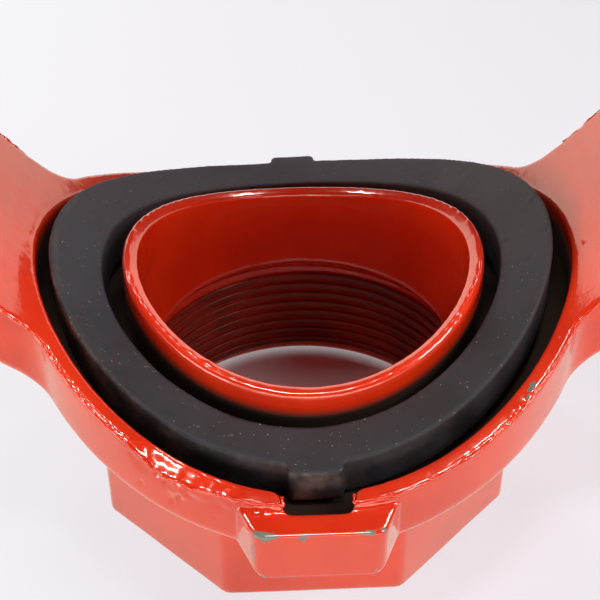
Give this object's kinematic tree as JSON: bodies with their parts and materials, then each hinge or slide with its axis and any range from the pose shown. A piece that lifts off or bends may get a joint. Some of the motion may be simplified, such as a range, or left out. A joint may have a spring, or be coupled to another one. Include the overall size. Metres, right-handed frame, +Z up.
{
  "type": "grooved-system mechanical tee with threaded outlet",
  "caption": "Bolt-on branch outlet for a steel pipe: a saddle casting with a threaded octagonal outlet and gasket, clamped by a strap and bolts.",
  "frame": {"origin": "centre of the outlet's end face, on the outlet's axis; the tee stands on this face", "axes": "+Z up the outlet's axis towards the run pipe, +Y along the run pipe (the lug is at -Y), +X across the pipe towards the right-hand bolt"},
  "size_m": [0.2054, 0.1016, 0.1819],
  "materials": {
    "enamel": "thick glossy orange-red enamel over cast iron",
    "rubber": "matt moulded rubber, dusty",
    "zinc_bolt": "bright zinc plating",
    "zinc_nut": "bright zinc plating"
  },
  "bodies": {
    "outlet_half": {"outlet_housing": "enamel", "gasket": "rubber", "bolt_left": "zinc_bolt", "bolt_right": "zinc_bolt"},
    "strap": {"strap_housing": "enamel"},
    "left_nut": {"nut_left": "zinc_nut"},
    "right_nut": {"nut_right": "zinc_nut"}
  },
  "joints": [
    {"name": "strap_lift", "type": "slide", "parent": "outlet_half", "child": "strap", "axis": [0, 0, 1], "range_m": [0, 0.0105]},
    {"name": "nut_left_turn", "type": "hinge", "parent": "strap", "child": "left_nut", "pos_m": [-0.08815, 0, 0.1257], "axis": [0, 0, 1], "range_deg": [0, 2160]},
    {"name": "nut_right_turn", "type": "hinge", "parent": "strap", "child": "right_nut", "pos_m": [0.08815, 0, 0.1257], "axis": [0, 0, 1], "range_deg": [0, 2160]}
  ],
  "couplings": [
    {"joint": "nut_left_turn", "follows": "strap_lift", "rad_per_m": 3590.3},
    {"joint": "nut_right_turn", "follows": "strap_lift", "rad_per_m": 3590.3}
  ]
}
